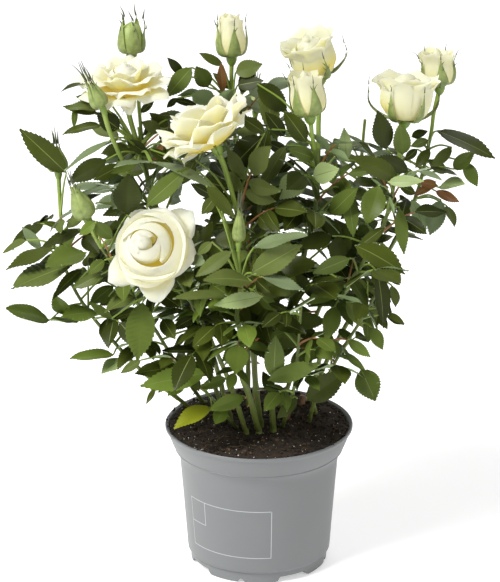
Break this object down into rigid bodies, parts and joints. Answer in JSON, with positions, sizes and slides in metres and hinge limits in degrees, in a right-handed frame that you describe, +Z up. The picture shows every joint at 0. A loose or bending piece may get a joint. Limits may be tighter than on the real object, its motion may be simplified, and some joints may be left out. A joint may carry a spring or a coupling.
{
  "type": "potted miniature rose bush",
  "caption": "Miniature rose bush with cream blooms and buds above dark green leaves, rooted in peat in a round grey plastic plant pot.",
  "frame": {"origin": "centre of the pot's flat underside, where the plant stands on a table", "axes": "+Z up along the pot's axis, -Y the plant's front, +X to the right seen from the front"},
  "size_m": [0.2692, 0.1955, 0.3118],
  "materials": {
    "pot_plastic": "satin mid grey",
    "peat": "rough dark peat",
    "cane": "smooth green bark",
    "leaves": "satin dark green leaf",
    "petals": "soft cream petal",
    "green_buds": "satin light green"
  },
  "bodies": {
    "root": {"bloom_front": "petals", "bloom_half_far_right": "petals", "bloom_half_right": "petals", "bloom_open_centre": "petals", "bloom_open_left": "petals", "bud_back": "green_buds", "bud_centre_right": "petals", "bud_centre_small": "green_buds", "bud_far_right": "petals", "bud_left_far": "green_buds", "bud_left_middle": "green_buds", "bud_left_upper": "green_buds", "bud_top_centre": "petals", "bud_top_left": "green_buds", "cane_back_left": "cane", "cane_back_middle": "cane", "cane_back_right": "cane", "cane_centre": "cane", "cane_centre_back": "cane", "cane_far_left": "cane", "cane_left_back": "cane", "cane_left_front": "cane", "cane_left_rear": "cane", "cane_low_front": "cane", "cane_low_left": "cane", "cane_rear": "cane", "cane_right": "cane", "cane_right_centre": "cane", "cane_right_low": "cane", "cane_right_rear": "cane", "foliage_back_left": "leaves", "foliage_back_middle": "leaves", "foliage_back_right": "leaves", "foliage_centre": "leaves", "foliage_centre_back": "leaves", "foliage_far_left": "leaves", "foliage_left_back": "leaves", "foliage_left_front": "leaves", "foliage_left_rear": "leaves", "foliage_low_front": "leaves", "foliage_low_left": "leaves", "foliage_rear": "leaves", "foliage_right": "leaves", "foliage_right_centre": "leaves", "foliage_right_low": "leaves", "foliage_right_rear": "leaves", "pot": "pot_plastic", "soil": "peat"}
  },
  "joints": []
}
